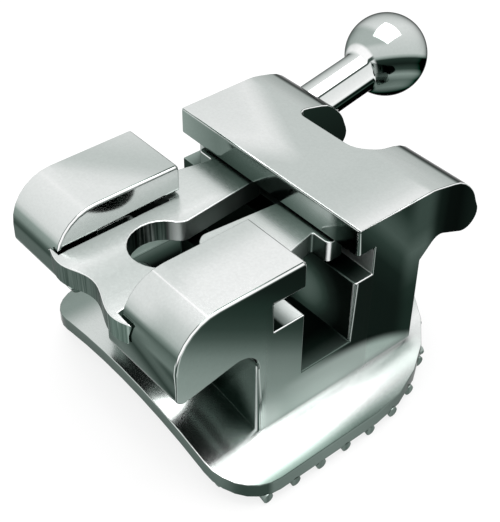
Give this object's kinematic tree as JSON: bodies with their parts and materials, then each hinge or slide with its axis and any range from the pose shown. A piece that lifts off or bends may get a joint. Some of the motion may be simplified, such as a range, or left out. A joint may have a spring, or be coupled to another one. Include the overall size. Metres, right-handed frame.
{
  "type": "orthodontic bracket",
  "caption": "Orthodontic bracket with tie wings, an archwire slot under a sliding spring clip, a ball hook and an arched base with a woven bonding mesh.",
  "frame": {"origin": "under the middle of the archwire slot, in the plane that the arched base touches when the bracket stands on a flat surface", "axes": "+Z out of the tooth, +Y across the slot towards the gingival side with the hook, +X along the slot towards the mesial side"},
  "size_m": [0.0031, 0.0046, 0.0023],
  "materials": {
    "polished_steel": "polished",
    "mirror_steel": "mirror polished",
    "satin_steel": "satin"
  },
  "bodies": {
    "bracket": {"bracket_body": "polished_steel", "ball_hook": "mirror_steel", "base_pad": "polished_steel", "bonding_mesh": "satin_steel"},
    "clip": {"sliding_clip": "polished_steel"}
  },
  "joints": [
    {"name": "clip_slide", "type": "slide", "parent": "bracket", "child": "clip", "axis": [0, -1, 0], "range_m": [0, 0.0007]}
  ]
}
